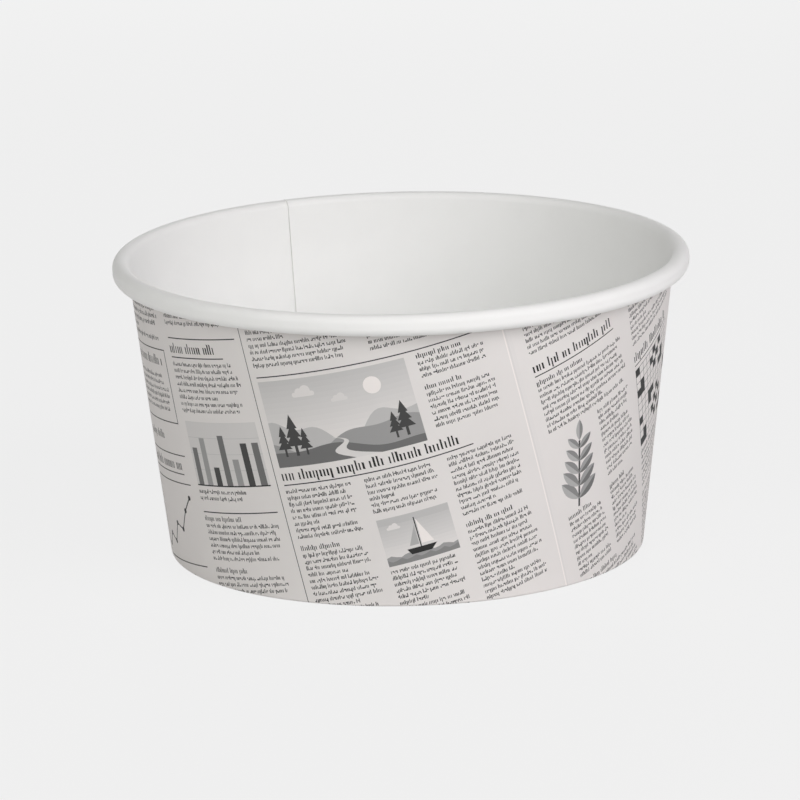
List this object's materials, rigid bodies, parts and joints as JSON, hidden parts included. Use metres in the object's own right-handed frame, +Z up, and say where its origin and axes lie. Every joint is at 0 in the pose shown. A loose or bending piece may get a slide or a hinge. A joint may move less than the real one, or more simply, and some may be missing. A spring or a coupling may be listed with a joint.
{
  "type": "cardboard food bucket",
  "caption": "Round tapered cardboard food bucket with a rolled white rim, a lapped side wall printed in a newsprint style and a recessed base disc.",
  "frame": {"origin": "centre of the foot ring, on the surface that the bucket stands on", "axes": "+Z up along the bucket's axis, +Y towards the side lap, +X to the right of it seen from the front"},
  "size_m": [0.15, 0.15, 0.0785],
  "materials": {
    "printed_board": "matt",
    "white_board": "satin"
  },
  "bodies": {
    "root": {"side_wall": "printed_board", "base_disc": "white_board"}
  },
  "joints": []
}
